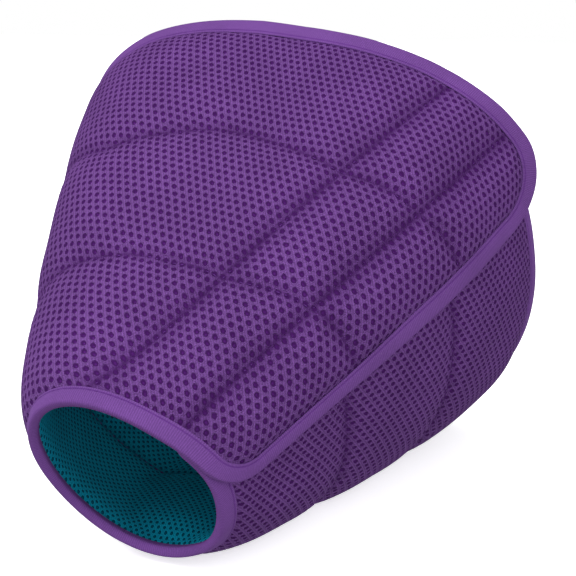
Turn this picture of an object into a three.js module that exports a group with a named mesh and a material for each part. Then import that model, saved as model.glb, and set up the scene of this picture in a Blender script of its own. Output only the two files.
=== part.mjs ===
// Soft recovery cone: one padded, quilted panel bound with tape all round,
// wrapped into a cone and lying on its side with the neck at -Y and the wide rim at +Y.
import * as THREE from 'three';

// Driving dimensions, in millimetres and degrees.
const PANEL_DEPTH = 275;      // neck edge to rim edge, measured along the wall
const NECK_RADIUS = 52;       // mean radius of the wall's middle at the neck edge
const RIM_RADIUS = 150;       // the same at the rim edge
const PAD_THICKNESS = 14;     // wall between two quilting seams
const SEAM_THICKNESS = 7;     // wall where a quilting seam pinches it
const BOUND_THICKNESS = 2.6;  // cover and lining together under the binding
const PUFF_REACH = 30;        // from a seam to where the padding is full
const BINDING_WIDTH = 11;     // how far the tape reaches over each face
const TAPE_THICKNESS = 1;
const NECK_CORNER = 26;       // rounding of the panel's corners at the neck
const RIM_CORNER = 46;        // rounding of the panel's corners at the rim
const SEAM_B_AT = 91;         // first seam round the cone, from the neck edge
const SEAM_A_AT = 175;        // second seam round the cone, from the neck edge
const GROOVE_2_AT = 50;       // straight seam beside the free edge
const GROOVE_1_AT = 95;       // the next straight seam, parallel to it
const OVERLAP_ANGLE = 70;     // how far the flap lies over the other end
const FREE_EDGE_NECK = 85.5;  // clock angle of the free edge at the neck, 0 on top, 90 at +X
const FREE_EDGE_RIM = 84.5;   // the same at the rim
const FREE_EDGE_BOW = 1.6;    // how far the free edge bows back between them
const FLAP_DROP = 4.6;        // how far the flap's neck corner is drawn in
const END_SLIP = 2.8;         // how far the covered end is drawn back along the axis
const EDGE_HOVER = 6;         // neck and rim edges stand this high; the belly between is pressed flat
const STRIP_THICKNESS = 1.6;  // hook-and-loop strip between the flap and the layer under it
const SEWN_GAP = 0.3;         // clearance between pieces that are sewn together
const LAYER_GAP = 0.5;        // clearance between the flap and the layer under it

// Shape of four sections round the cone, as shares of each section's own mean radius.
// along: share of the panel depth; radius: share of the way from neck radius to rim radius;
// drop, side: shift of the centre; oval, skew: two-lobed; three, lean: three-lobed.
const SECTIONS = [
  { along: 0.00, radius: 0.00, drop: 0.06, side: -0.185,
    oval: -0.045, skew: -0.06, three: -0.035, lean: -0.05 },
  { along: 0.33, radius: 0.44, drop: -0.125, side: -0.145,
    oval: -0.02, skew: 0.04, three: -0.04, lean: -0.01 },
  { along: 0.64, radius: 0.73, drop: -0.13, side: -0.04,
    oval: 0.00, skew: -0.03, three: -0.065, lean: -0.005 },
  { along: 1.00, radius: 1.00, drop: -0.155, side: -0.08,
    oval: -0.01, skew: -0.04, three: -0.045, lean: 0.03 },
];
const FULL_TURN = 360;
const DROP_REACH = 60;        // clock angle over which the flap's neck corner is drawn in
const ROUND_STEPS = 30;       // grid columns between the two ends' own columns
const NORMAL_REACH = 5;       // millimetres and degrees over which the wall's direction is taken
const SLIP_FROM = 20;         // clock angles over which the drawn-back end eases into the wrap
const SLIP_TO = 150;
const SINK_TO = 158;          // clock angle where the covered layer has come out to the full form

const rad = THREE.MathUtils.degToRad;
const deg = THREE.MathUtils.radToDeg;
const smooth = (x) => THREE.MathUtils.smoothstep(x, 0, 1);
const dome = (x) => Math.sqrt(1 - (1 - THREE.MathUtils.clamp(x, 0, 1)) ** 2);
const spread = (from, to, count) =>
  Array.from({ length: count }, (_, k) => from + ((to - from) * (k + 1)) / (count + 1));

// The panel laid flat is a sector of a ring: its apex lies APEX from the neck edge.
const CONE_SINE = (RIM_RADIUS - NECK_RADIUS) / PANEL_DEPTH;
const APEX = NECK_RADIUS / CONE_SINE;
const AXIS_LENGTH = Math.sqrt(PANEL_DEPTH ** 2 - (RIM_RADIUS - NECK_RADIUS) ** 2);
const BOUND_HALF = BOUND_THICKNESS / 2;
const TAPE_INSIDE = BOUND_HALF + SEWN_GAP;
const TAPE_OUTSIDE = TAPE_INSIDE + TAPE_THICKNESS;

// Cubic through the four sections at a share v of the panel depth.
function betweenSections(values, v) {
  let sum = 0;
  SECTIONS.forEach((section, i) => {
    let weight = 1;
    SECTIONS.forEach((other, j) => {
      if (i !== j) weight *= (v - other.along) / (section.along - other.along);
    });
    sum += weight * values[i];
  });
  return sum;
}

function sectionRadius(section, angle) {
  const a = rad(angle);
  const mean = NECK_RADIUS + section.radius * (RIM_RADIUS - NECK_RADIUS);
  return mean * (1 + section.drop * Math.cos(a) + section.side * Math.sin(a)
    + section.oval * Math.cos(2 * a) + section.skew * Math.sin(2 * a)
    + section.three * Math.cos(3 * a) + section.lean * Math.sin(3 * a));
}

const formRadius = (v, angle) => betweenSections(SECTIONS.map((s) => sectionRadius(s, angle)), v);

// Clock angles of the panel's two ends at a depth t from the neck edge.
function freeAngle(t) {
  const v = t / PANEL_DEPTH;
  const bow = 4 * v * (1 - v) * FREE_EDGE_BOW;
  return FULL_TURN + FREE_EDGE_NECK + (FREE_EDGE_RIM - FREE_EDGE_NECK) * v - bow;
}
const coveredAngle = (t) => freeAngle(t) - FULL_TURN - OVERLAP_ANGLE;

// Distance on the flat panel from one of its straight ends, and the angle for a distance.
function distanceFromEnd(t, turn) {
  const flat = rad(Math.abs(turn)) * CONE_SINE;
  return flat < Math.PI / 2 ? (APEX + t) * Math.sin(flat) : APEX + t;
}
const turnForDistance = (t, distance) => deg(Math.asin(distance / (APEX + t)) / CONE_SINE);

// Half thickness of the padded wall: pinched at each seam and thin under the binding.
function paddedHalf(t, fromFree, depth) {
  const seam = Math.min(Math.abs(t - SEAM_A_AT), Math.abs(t - SEAM_B_AT),
    Math.abs(fromFree - GROOVE_1_AT), Math.abs(fromFree - GROOVE_2_AT));
  const byEdge = edgeHalf(depth);
  const bySeam = (SEAM_THICKNESS + (PAD_THICKNESS - SEAM_THICKNESS) * dome(seam / PUFF_REACH)) / 2;
  return Math.min(byEdge, bySeam);
}

function edgeHalf(depth) {
  const fill = dome((depth - BINDING_WIDTH) / PUFF_REACH);
  return (BOUND_THICKNESS + (PAD_THICKNESS - BOUND_THICKNESS) * fill) / 2;
}

// How far the covered layer's middle lies inside the flap's, so that they rest on each other.
function restDepth(t, fromFree) {
  const edge = Math.min(t, PANEL_DEPTH - t);
  const flapHalf = Math.max(TAPE_OUTSIDE, edgeHalf(Math.min(edge, fromFree)));
  const coveredHalf = Math.max(TAPE_OUTSIDE, edgeHalf(edge));
  const strip = dome((Math.min(edge, fromFree) - BINDING_WIDTH) / PUFF_REACH);
  return flapHalf + coveredHalf + LAYER_GAP + strip * (STRIP_THICKNESS + SEWN_GAP);
}

// How far the flap's neck corner is drawn in towards the axis.
function flapDrop(t, angle) {
  const share = smooth(1 - (freeAngle(t) - angle) / DROP_REACH);
  return FLAP_DROP * (1 - t / PANEL_DEPTH) * share;
}

// The middle of the wall in the cone's own frame: x across, y along the axis, z up.
function coneMiddle(t, angle) {
  const v = t / PANEL_DEPTH;
  let radius = formRadius(v, angle);
  let along = AXIS_LENGTH * v;
  const edgeBelow = freeAngle(t) - FULL_TURN;
  if (angle < SINK_TO) {
    const under = angle < edgeBelow ? 1 : smooth((SINK_TO - angle) / (SINK_TO - edgeBelow));
    const rest = restDepth(t, distanceFromEnd(t, Math.max(0, edgeBelow - angle)));
    radius -= (rest + flapDrop(t, angle + FULL_TURN)) * under;
  } else radius -= flapDrop(t, angle);
  if (angle < SLIP_TO) {
    const share = smooth((SLIP_TO - angle) / (SLIP_TO - SLIP_FROM));
    along += share * END_SLIP;
  }
  return new THREE.Vector3(radius * Math.sin(rad(angle)), along, radius * Math.cos(rad(angle)));
}

// Tilt that brings the bottoms of neck and rim to one height.
function bottomOf(t) {
  let low = 0;
  for (let angle = 120; angle <= 240; angle += 2) low = Math.min(low, coneMiddle(t, angle).z);
  return low;
}
const TILT = Math.atan2(bottomOf(0) - bottomOf(PANEL_DEPTH), AXIS_LENGTH);
const UP_TILT = new THREE.Matrix4().makeRotationX(TILT);
const LIFT = EDGE_HOVER + TAPE_OUTSIDE - bottomOf(0) * Math.cos(TILT);

const middle = (t, angle) =>
  coneMiddle(t, angle).applyMatrix4(UP_TILT).add(new THREE.Vector3(0, 0, LIFT));

function outward(t, angle) {
  const alongPanel = middle(t + NORMAL_REACH, angle).sub(middle(t - NORMAL_REACH, angle));
  const roundPanel = middle(t, angle + NORMAL_REACH).sub(middle(t, angle - NORMAL_REACH));
  return roundPanel.cross(alongPanel).normalize();
}

// Grid lines of the flat panel: distances in from an edge, then the field between them.
const edgeLines = [0, BINDING_WIDTH, (BINDING_WIDTH + NECK_CORNER) / 2, NECK_CORNER,
  (NECK_CORNER + RIM_CORNER) / 2, RIM_CORNER];
const neckLines = edgeLines.slice(0, 4);
const ROWS = [
  ...neckLines,
  ...spread(NECK_CORNER, SEAM_B_AT, 3), SEAM_B_AT,
  ...spread(SEAM_B_AT, SEAM_A_AT, 4), SEAM_A_AT,
  ...spread(SEAM_A_AT, PANEL_DEPTH - RIM_CORNER, 1),
  ...edgeLines.map((line) => PANEL_DEPTH - line).reverse(),
];
const freeLines = [...edgeLines, GROOVE_2_AT, ...spread(GROOVE_2_AT, GROOVE_1_AT, 2), GROOVE_1_AT];
const COLUMNS = [
  ...edgeLines.map((line) => ({ fromCovered: line })),
  ...spread(0, 1, ROUND_STEPS).map((share) => ({ share })),
  ...freeLines.map((line) => ({ fromFree: line })).reverse(),
];

// A corner of the grid is bent onto a quarter circle, so the panel's corners are round.
function roundCorner(fromSide, fromEnd, corner) {
  if (fromSide >= corner || fromEnd >= corner) return [fromSide, fromEnd];
  const p = corner - fromSide;
  const q = corner - fromEnd;
  const reach = Math.max(p, q);
  const swing = (Math.PI / 4) * (Math.min(p, q) / reach);
  const near = reach * Math.cos(swing);
  const far = reach * Math.sin(swing);
  return p >= q ? [corner - near, corner - far] : [corner - far, corner - near];
}

function gridNode(i, j) {
  const column = COLUMNS[i];
  const fromRim = ROWS[j] > PANEL_DEPTH / 2;
  const corner = fromRim ? RIM_CORNER : NECK_CORNER;
  let edge = fromRim ? PANEL_DEPTH - ROWS[j] : ROWS[j];
  let end = column.fromCovered ?? column.fromFree;
  const depth = Math.min(edge, end ?? edge);
  if (end !== undefined) [end, edge] = roundCorner(end, edge, corner);
  const t = fromRim ? PANEL_DEPTH - edge : edge;
  let angle;
  if (column.fromCovered !== undefined) angle = coveredAngle(t) + turnForDistance(t, end);
  else if (column.fromFree !== undefined) angle = freeAngle(t) - turnForDistance(t, end);
  else {
    const start = coveredAngle(t) + turnForDistance(t, RIM_CORNER);
    const stop = freeAngle(t) - turnForDistance(t, GROOVE_1_AT);
    angle = start + (stop - start) * column.share;
  }
  const fromFree = distanceFromEnd(t, freeAngle(t) - angle);
  const half = paddedHalf(t, fromFree, depth);
  const normal = outward(t, angle);
  const place = middle(t, angle);
  // Cloth that would pass through the floor is pressed flat on it, at its full thickness.
  const lowest = place.z + normal.z * (depth <= BINDING_WIDTH ? TAPE_OUTSIDE : half);
  if (lowest < 0 && normal.z < 0) place.z -= lowest;
  return { place, normal, half, t, angle };
}

const LAST_COLUMN = COLUMNS.length - 1;
const LAST_ROW = ROWS.length - 1;
const NODES = COLUMNS.map((_, i) => ROWS.map((__, j) => gridNode(i, j)));
const shifted = (node, offset) => node.place.clone().addScaledVector(node.normal, offset);

// Grid indices round a block of the grid, once round, anticlockwise seen from outside.
function borderOf({ left, right, low, high }) {
  const run = (from, to, make) =>
    Array.from({ length: Math.abs(to - from) }, (_, k) => make(from + Math.sign(to - from) * k));
  return [
    ...run(low, high, (j) => [left, j]),
    ...run(left, right, (i) => [i, high]),
    ...run(high, low, (j) => [right, j]),
    ...run(right, left, (i) => [i, low]),
  ];
}
const WHOLE_PANEL = { left: 0, right: LAST_COLUMN, low: 0, high: LAST_ROW };
const PERIMETER = borderOf(WHOLE_PANEL);

// Each grid cell is split along the diagonal that points at the nearest corner of the panel.
function cellTriangles(i, j) {
  const [a, b, c, d] = [[i, j], [i, j + 1], [i + 1, j + 1], [i + 1, j]];
  const towardsCorner = (i < LAST_COLUMN / 2) === (j < LAST_ROW / 2);
  return towardsCorner ? [[a, b, c], [a, c, d]] : [[a, b, d], [b, c, d]];
}

// A closed surface put together from named points, each used once.
class ClosedSurface {
  constructor() {
    this.coordinates = [];
    this.indexOf = new Map();
    this.triangles = [];
  }

  point(name, place) {
    if (!this.indexOf.has(name)) {
      this.indexOf.set(name, this.coordinates.length / 3);
      this.coordinates.push(place.x, place.y, place.z);
    }
    return this.indexOf.get(name);
  }

  triangle(a, b, c) {
    if (a !== b && b !== c && c !== a) this.triangles.push(a, b, c);
  }

  quad(a, b, c, d) {
    this.triangle(a, b, c);
    this.triangle(a, c, d);
  }

  mesh(name, material) {
    const geometry = new THREE.BufferGeometry();
    geometry.setAttribute('position', new THREE.Float32BufferAttribute(this.coordinates, 3));
    geometry.setIndex(this.triangles);
    geometry.computeVertexNormals();
    const mesh = new THREE.Mesh(geometry, material);
    mesh.name = name;
    return mesh;
  }
}

// A padded layer over a block of the grid, from upper(node) down to lower(node) on the normal.
function layer(block, upper, lower) {
  const surface = new ClosedSurface();
  const at = (side, [i, j]) => {
    const node = NODES[i][j];
    return surface.point(`${side} ${i} ${j}`, shifted(node, side === 'up' ? upper(node) : lower(node)));
  };
  for (let i = block.left; i < block.right; i += 1) {
    for (let j = block.low; j < block.high; j += 1) {
      for (const [a, b, c] of cellTriangles(i, j)) {
        surface.triangle(at('up', a), at('up', c), at('up', b));
        surface.triangle(at('low', a), at('low', b), at('low', c));
      }
    }
  }
  const border = borderOf(block);
  border.forEach((here, k) => {
    const next = border[(k + 1) % border.length];
    surface.quad(at('up', here), at('up', next), at('low', next), at('low', here));
  });
  return surface;
}

// The tape is one folded band: two legs on the wall's faces, joined round its edge.
function foldedTape() {
  const surface = new ClosedSurface();
  const legPoint = (offset, [i, j]) => {
    const onEdge = i === 0 || j === 0 || i === LAST_COLUMN || j === LAST_ROW;
    if (onEdge && Math.abs(offset) === TAPE_INSIDE) return foldPoint(SEWN_GAP, offset, [i, j]);
    return surface.point(`leg ${offset} ${i} ${j}`, shifted(NODES[i][j], offset));
  };
  const foldPoint = (beyond, offset, [i, j]) => {
    const k = PERIMETER.findIndex(([column, row]) => column === i && row === j);
    const node = NODES[i][j];
    const [before, after] = [-1, 1].map((step) => {
      const [column, row] = PERIMETER[(k + step + PERIMETER.length) % PERIMETER.length];
      return NODES[column][row].place;
    });
    const away = before.clone().sub(after).cross(node.normal).normalize();
    return surface.point(`fold ${beyond} ${offset} ${i} ${j}`,
      shifted(node, offset).addScaledVector(away, beyond));
  };
  const inner = ([i, j]) => [
    THREE.MathUtils.clamp(i, 1, LAST_COLUMN - 1), THREE.MathUtils.clamp(j, 1, LAST_ROW - 1)];
  for (let i = 0; i < LAST_COLUMN; i += 1) {
    for (let j = 0; j < LAST_ROW; j += 1) {
      const inRing = i === 0 || j === 0 || i === LAST_COLUMN - 1 || j === LAST_ROW - 1;
      if (inRing) {
        for (const [a, b, c] of cellTriangles(i, j)) {
          surface.triangle(...[a, c, b].map((p) => legPoint(TAPE_OUTSIDE, p)));
          surface.triangle(...[a, b, c].map((p) => legPoint(TAPE_INSIDE, p)));
          surface.triangle(...[a, c, b].map((p) => legPoint(-TAPE_INSIDE, p)));
          surface.triangle(...[a, b, c].map((p) => legPoint(-TAPE_OUTSIDE, p)));
        }
      }
    }
  }
  PERIMETER.forEach((here, k) => {
    const next = PERIMETER[(k + 1) % PERIMETER.length];
    const thick = SEWN_GAP + TAPE_THICKNESS;
    const outside = (p) => [legPoint(TAPE_OUTSIDE, p), foldPoint(thick, TAPE_INSIDE, p),
      foldPoint(thick, -TAPE_INSIDE, p), legPoint(-TAPE_OUTSIDE, p)];
    const hereOutside = outside(here);
    const nextOutside = outside(next);
    for (let m = 0; m < 3; m += 1) {
      surface.quad(hereOutside[m], nextOutside[m], nextOutside[m + 1], hereOutside[m + 1]);
    }
    surface.quad(legPoint(-TAPE_INSIDE, here), legPoint(-TAPE_INSIDE, next),
      legPoint(TAPE_INSIDE, next), legPoint(TAPE_INSIDE, here));
    const [hereInner, nextInner] = [inner(here), inner(next)];
    surface.quad(legPoint(TAPE_INSIDE, hereInner), legPoint(TAPE_INSIDE, nextInner),
      legPoint(TAPE_OUTSIDE, nextInner), legPoint(TAPE_OUTSIDE, hereInner));
    surface.quad(legPoint(-TAPE_OUTSIDE, hereInner), legPoint(-TAPE_OUTSIDE, nextInner),
      legPoint(-TAPE_INSIDE, nextInner), legPoint(-TAPE_INSIDE, hereInner));
  });
  return surface;
}

const cloth = (color, roughness) => new THREE.MeshStandardMaterial({ color, roughness, metalness: 0 });
const purpleMesh = cloth(0x4d2a73, 0.85);
const tealMesh = cloth(0x0f8fa3, 0.85);
const purpleTape = cloth(0x6f4391, 0.7);
const darkStrip = cloth(0x2b2333, 0.9);

const halfGap = SEWN_GAP / 2;
const outerCover = layer(WHOLE_PANEL, (node) => node.half, () => halfGap)
  .mesh('outer_cover', purpleMesh);
const innerLining = layer(WHOLE_PANEL, () => -halfGap, (node) => -node.half)
  .mesh('inner_lining', tealMesh);
const edgeBinding = foldedTape().mesh('edge_binding', purpleTape);

// The strip lies under the flap, between its two straight grooves.
const stripBlock = {
  left: COLUMNS.findIndex((column) => column.fromFree === GROOVE_1_AT),
  right: COLUMNS.findIndex((column) => column.fromFree === GROOVE_2_AT),
  low: ROWS.indexOf(NECK_CORNER) + 1,
  high: ROWS.indexOf(PANEL_DEPTH - RIM_CORNER),
};
const stripTop = (node) => -(node.half + SEWN_GAP);
const closureStrip = layer(stripBlock, stripTop, (node) => stripTop(node) - STRIP_THICKNESS)
  .mesh('closure_strip', darkStrip);

const group = new THREE.Group();
group.add(outerCover, innerLining, edgeBinding, closureStrip);

// The origin is the centre of the footprint, on the floor.
const box = new THREE.Box3().setFromObject(group);
const centre = box.getCenter(new THREE.Vector3());
for (const mesh of group.children) mesh.geometry.translate(-centre.x, -centre.y, -box.min.z);

export default group;
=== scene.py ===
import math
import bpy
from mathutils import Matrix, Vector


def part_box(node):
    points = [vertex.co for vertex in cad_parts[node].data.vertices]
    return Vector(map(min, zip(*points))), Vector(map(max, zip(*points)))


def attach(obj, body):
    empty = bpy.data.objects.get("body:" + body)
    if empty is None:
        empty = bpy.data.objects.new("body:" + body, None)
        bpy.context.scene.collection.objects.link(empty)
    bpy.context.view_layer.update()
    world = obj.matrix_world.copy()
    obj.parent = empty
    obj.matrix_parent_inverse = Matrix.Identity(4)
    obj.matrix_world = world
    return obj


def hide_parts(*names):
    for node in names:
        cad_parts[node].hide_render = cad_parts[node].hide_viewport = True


bl_info = {
    "name": "Soft Recovery Cone",
    "version": (1, 0, 0),
    "blender": (4, 5, 0),
    "location": "3D View > Sidebar > Cone",
    "description": "Quilted mesh, tape and stitching of a padded recovery cone that lies on its side",
    "category": "Object",
}

from collections import namedtuple
from contextlib import contextmanager

import bmesh
import bpy
import numpy as np
from mathutils import Vector
from mathutils.geometry import delaunay_2d_cdt

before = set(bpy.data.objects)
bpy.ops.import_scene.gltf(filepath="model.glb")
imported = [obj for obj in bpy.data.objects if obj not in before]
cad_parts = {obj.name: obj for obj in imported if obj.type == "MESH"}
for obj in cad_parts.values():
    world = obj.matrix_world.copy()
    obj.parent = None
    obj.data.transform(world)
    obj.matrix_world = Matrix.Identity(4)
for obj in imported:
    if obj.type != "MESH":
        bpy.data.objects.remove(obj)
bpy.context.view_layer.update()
MM = 0.001
FULL_TURN = 360
OUTSIDE = 1
INSIDE = -1

# Shape of four sections round the cone, as shares of each section's own mean radius.
# along: share of the panel depth; radius: share of the way from neck radius to rim radius;
# drop, side: shift of the centre; oval, skew: two-lobed; three, lean: three-lobed.
Section = namedtuple("Section", "along radius drop side oval skew three lean")
SECTIONS = (
    Section(0.00, 0.00, 0.06, -0.185, -0.045, -0.06, -0.035, -0.05),
    Section(0.33, 0.44, -0.125, -0.145, -0.02, 0.04, -0.04, -0.01),
    Section(0.64, 0.73, -0.13, -0.04, 0.00, -0.03, -0.065, -0.005),
    Section(1.00, 1.00, -0.155, -0.08, -0.01, -0.04, -0.045, 0.03),
)

# How far the two round seams stray from their line towards the rim, by clock angle.
Shift = namedtuple("Shift", "angle millimetres")
RIM_SEAM_STRAY = (
    Shift(285, 0), Shift(303, 8), Shift(320, -6), Shift(326, -2.5), Shift(337, 0), Shift(353, 7),
    Shift(363, 7), Shift(375, 3.6), Shift(385, 1), Shift(395, -3.6), Shift(402, -1.4),
    Shift(409, 1), Shift(419, 0), Shift(425, 3), Shift(435, 2.5), Shift(446, 1),
)
NECK_SEAM_STRAY = (
    Shift(300, 0), Shift(345, 0.5), Shift(354, -2), Shift(366, -1), Shift(376, -4.5),
    Shift(390, -2), Shift(400, 1), Shift(407, 1.6), Shift(417, 4), Shift(435, 2), Shift(446, 0),
)
STRAY_BLUR = (-4, -2, 0, 2, 4)

# How far the soft rim flares outwards at its edge, by clock angle: most at the flap's corner.
RIM_FLARE = (
    Shift(298, 0), Shift(308, 1.4), Shift(320, 2.6), Shift(352, 2.7), Shift(364, 1.2), Shift(388, 0.8),
    Shift(396, 1.6), Shift(404, 3.0), Shift(412, 5.6), Shift(420, 8.6), Shift(428, 10.6),
    Shift(434, 12.6), Shift(440, 14.6), Shift(446, 15.0),
)
FLARE_REACH = 70 * MM
FLARE_POWER = 2.5

# Where the cone is fuller than its sections say: a place, how far it spreads, and its height.
Bulge = namedtuple("Bulge", "angle spread distance reach height")
BULGES = (
    Bulge(290, 30, 170 * MM, 60 * MM, 3.2 * MM),
    Bulge(137, 24, 45 * MM, 35 * MM, 2.8 * MM),
)

# Ease of the wrap, in degrees of clock angle, and reach over which its direction is taken.
DROP_REACH = 60
SLIP_FROM = 20
SLIP_TO = 150
SINK_TO = 158
OPENING_OVER = 8
NORMAL_TURN = 5
NORMAL_STEP = 5 * MM

# Clock angles, from, to and step, among which the cone's lowest places are looked for.
UNDERSIDE = (120.0, 241.0, 2.0)

# Small waves of the cloth: puckers beside a seam, and ripples of the padding.
PUCKER_WAVES = (8.5 * MM, 12.7 * MM, 17.9 * MM)
PUCKER_HEIGHT = 0.6 * MM
PUCKER_PEAK = 4 * MM
PUCKER_FILL = 0.25
RIPPLE_COUNT = 14
RIPPLE_LENGTHS = (34 * MM, 90 * MM)
RIPPLE_HEIGHT = 0.35 * MM
RIPPLE_SEED = 5

# Seams: how their valleys rise, the clock angles between which they are shallower, how much of
# that ease the two round seams have everywhere, and how much narrower the painted shade beside them is.
ROUND_SEAMS = 2
SEAM_BLEND = 0.35 * MM
VALLEY_POWER = 1.6
EASED_AFTER = 150
EASED_BEFORE = 335
EASED_OVER = 40
ROUND_EASE = 0.35
ROUND_NARROWING = 1.6

# The mesh: a lattice of leaning oval holes, turned on the flat panel, whose ragged border the
# tape hides. Its plain back has a vertex at every few holes.
Knit = namedtuple("Knit", "pitch hole_width hole_depth rim_height stagger")
CELL_SIDES = 6
RIM_HEIGHT = 0.12 * MM
LINING_STAGGER = (0.5, 0.29)
MIDDLE_SHARE = 0.1
HOLE_LONG = 1.13
HOLE_SHORT = 0.9
HOLE_LEAN = math.radians(20)
LATTICE_TURN = math.radians(-13)
HIDDEN_DEPTH = 2.5 * MM
MERGE_SHARE = 0.02
BACK_EVERY = 4
BACK_DEPTH = 8 * MM
BACK_OFFSET = 0.15 * MM
BACK_INSIDE = 1
BACK_FINEST = 1e-7
THIN_CLOTH = 0.7 * MM

# The tape: its stations along the edge, its sewn line, how much narrower it is on the inner face
# and round the neck, how uneven it is, and the turns of its fold in degrees.
STATION = 2 * MM
TAPE_LINE = 9 * MM
INNER_SHARE = 0.62
NECK_SHARE = 0.84
NARROW_BELOW = 140 * MM
NARROW_OVER = 60 * MM
TAPE_UNEVEN = 0.14 * MM
TAPE_MERGE = 0.01 * MM
FOLD_TURNS = (10, 35, 60, 90, 120, 145, 170)

# Stitches: the faces of one, how deep they lie, and the points that give a seam's line.
STITCH_SEGMENTS = 6
STITCH_RINGS = 4
DEPTH_IN_TAPE = 0.2 * MM
DEPTH_IN_CLOTH = 0.1 * MM
ROUND_POINTS = 900
STRAIGHT_POINTS = 300

# Finishes. Tones are shares of a piece's own colour, sizes of a hole's rim and of the ring round
# it are in hole pitches, and waves are counted to the metre. A span is where something fades.
# In the mesh tones, the hole's edge and the seams' valleys are darkened as painted shade, and the ring
# round a hole is lightened as painted highlight.
MeshTones = namedtuple("MeshTones", "hole_middle hole_edge strand_low strand_high ring pressed")
MESH_TONES = MeshTones(1.55, 0.8, 0.84, 1.16, 1.4, 0.85)
# In the tape tones, the line is the thread's colour darkened a little as painted shade in its groove.
TapeTones = namedtuple("TapeTones", "rib_low rib_high line")
TAPE_TONES = TapeTones(0.84, 1.06, 0.95)
# Painted shade along the seams' valleys: where it is full, where it has faded, and how dark it is.
SeamShade = namedtuple("SeamShade", "near far share")
SEAM_SHADES = (SeamShade(0.2 * MM, 3.6 * MM, 0.8), SeamShade(0.0, 12 * MM, 0.36))
SHEEN_TONE = 2.2
SHEEN_ROUGHNESS = 0.45
CLOTH_GLOSS = 0.05
STRANDS = 6
HOLE_WOBBLE = 0.03
HOLE_MIDDLE = 0.18
RIM_SPREAD = 0.05
RIM_BLEND = 0.03
# The ring round each hole: raised in the bump, and lightened in colour as painted highlight.
RING_OUT = 0.06
RING_SPREAD = 0.08
RIM_HIGHLIGHT_SHARE = 0.5
KNIT_LOOPS = 7.0
LOOP_SPAN = (0.05, 0.6)
RIB_PITCH = 1.15 * MM
RIB_SHARE = 0.75
WEAVE_SHARE = 0.35
LINE_SPAN = (0.1 * MM, 0.75 * MM)
BROAD_NOISE = (0.3, 0.7)
FINE_NOISE = (0.25, 0.75)
BROAD_WAVES = 28
WOBBLE_WAVES = 900
FINE_WAVES = 1400
TAPE_WAVES = 2600
THREAD_WAVES = 4200
STRIP_WAVES = 1800


def linear(red, green, blue):
    """A colour read as 0 to 255 on a screen, as the linear colour that a shader takes."""
    shares = np.array([red, green, blue]) / 255
    light = ((shares + 0.055) / 1.055) ** 2.4
    return (*np.where(shares <= 0.04045, shares / 12.92, light).tolist(), 1.0)


def length(name, description, default):
    """A length in metres that the user can change."""
    return bpy.props.FloatProperty(
        name=name, description=description, default=default, min=0.0, precision=4,
        subtype="DISTANCE", unit="LENGTH")


def clock(name, description, default):
    """A clock angle in degrees round the cone, 0 on top and 90 at +X."""
    return bpy.props.FloatProperty(name=name, description=description, default=default)


def colour(name, description, default):
    """A colour that the user can change."""
    return bpy.props.FloatVectorProperty(
        name=name, description=description, default=default, size=4, min=0.0, max=1.0,
        subtype="COLOR")


class ConeSizes(bpy.types.PropertyGroup):
    """Sizes of the padded panel, its tape, its mesh and its stitches"""

    panel_depth: length("Panel depth", "Neck edge to rim edge, along the wall", 0.275)
    neck_radius: length("Neck radius", "Mean radius of the wall's middle at the neck", 0.052)
    rim_radius: length("Rim radius", "Mean radius of the wall's middle at the rim", 0.150)
    pad_thickness: length("Pad thickness", "Wall between two quilting seams", 0.014)
    seam_thickness: length("Seam thickness", "Wall where a quilting seam pinches it", 0.0026)
    seam_ease: length("Seam ease", "Extra thickness at the seams on the cone's left", 0.006)
    bound_thickness: length("Bound thickness", "Cover and lining under the tape", 0.0026)
    puff_reach: length("Puff reach", "From a seam to where the padding is full", 0.030)
    binding_width: length("Binding width", "How far the tape reaches over each face", 0.011)
    tape_thickness: length("Tape thickness", "Thickness of the folded tape", 0.001)
    neck_corner: length("Neck corner", "Rounding of the panel's corners at the neck", 0.026)
    rim_corner: length("Rim corner", "Rounding of the panel's corners at the rim", 0.046)
    neck_seam: length("Neck seam", "First seam round the cone, from the neck edge", 0.091)
    rim_seam: length("Rim seam", "Second seam round the cone, from the neck edge", 0.175)
    edge_groove: length("Edge groove", "Straight seam beside the free edge", 0.050)
    inner_groove: length("Inner groove", "The next straight seam, parallel to it", 0.095)
    overlap: clock("Overlap", "How far the flap lies over the other end", 70.0)
    free_edge_neck: clock("Free edge at neck", "Clock angle of the flap's end there", 85.5)
    free_edge_rim: clock("Free edge at rim", "Clock angle of the flap's end there", 84.5)
    free_edge_bow: clock("Free edge bow", "How far that end bows back between them", 1.6)
    flap_drop: length("Flap drop", "How far the flap's neck corner is drawn in", 0.0046)
    end_slip: length("End slip", "How far the covered end is drawn back", 0.0028)
    edge_hover: length("Edge hover", "Height of the neck and rim edges above the floor", 0.006)
    strip_thickness: length("Strip", "Hook-and-loop strip under the flap", 0.0016)
    sewn_gap: length("Sewn gap", "Clearance between pieces sewn together", 0.0003)
    layer_gap: length("Layer gap", "Clearance between the flap and the layer under it", 0.0005)
    hole_pitch: length("Cover hole pitch", "From one hole to the next outside", 0.005)
    hole_width: length("Cover hole width", "Width of a hole outside", 0.0030)
    hole_depth: length("Cover hole depth", "Depth of a hole outside", 0.0013)
    lining_pitch: length("Lining hole pitch", "From one hole to the next inside", 0.0033)
    lining_width: length("Lining hole width", "Width of a hole inside", 0.0019)
    lining_depth: length("Lining hole depth", "Depth of a hole inside", 0.0008)
    stitch_length: length("Stitch length", "Length of one stitch", 0.0026)
    stitch_gap: length("Stitch gap", "From one stitch to the next", 0.0012)
    stitch_width: length("Stitch width", "Width of the thread", 0.0006)


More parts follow.
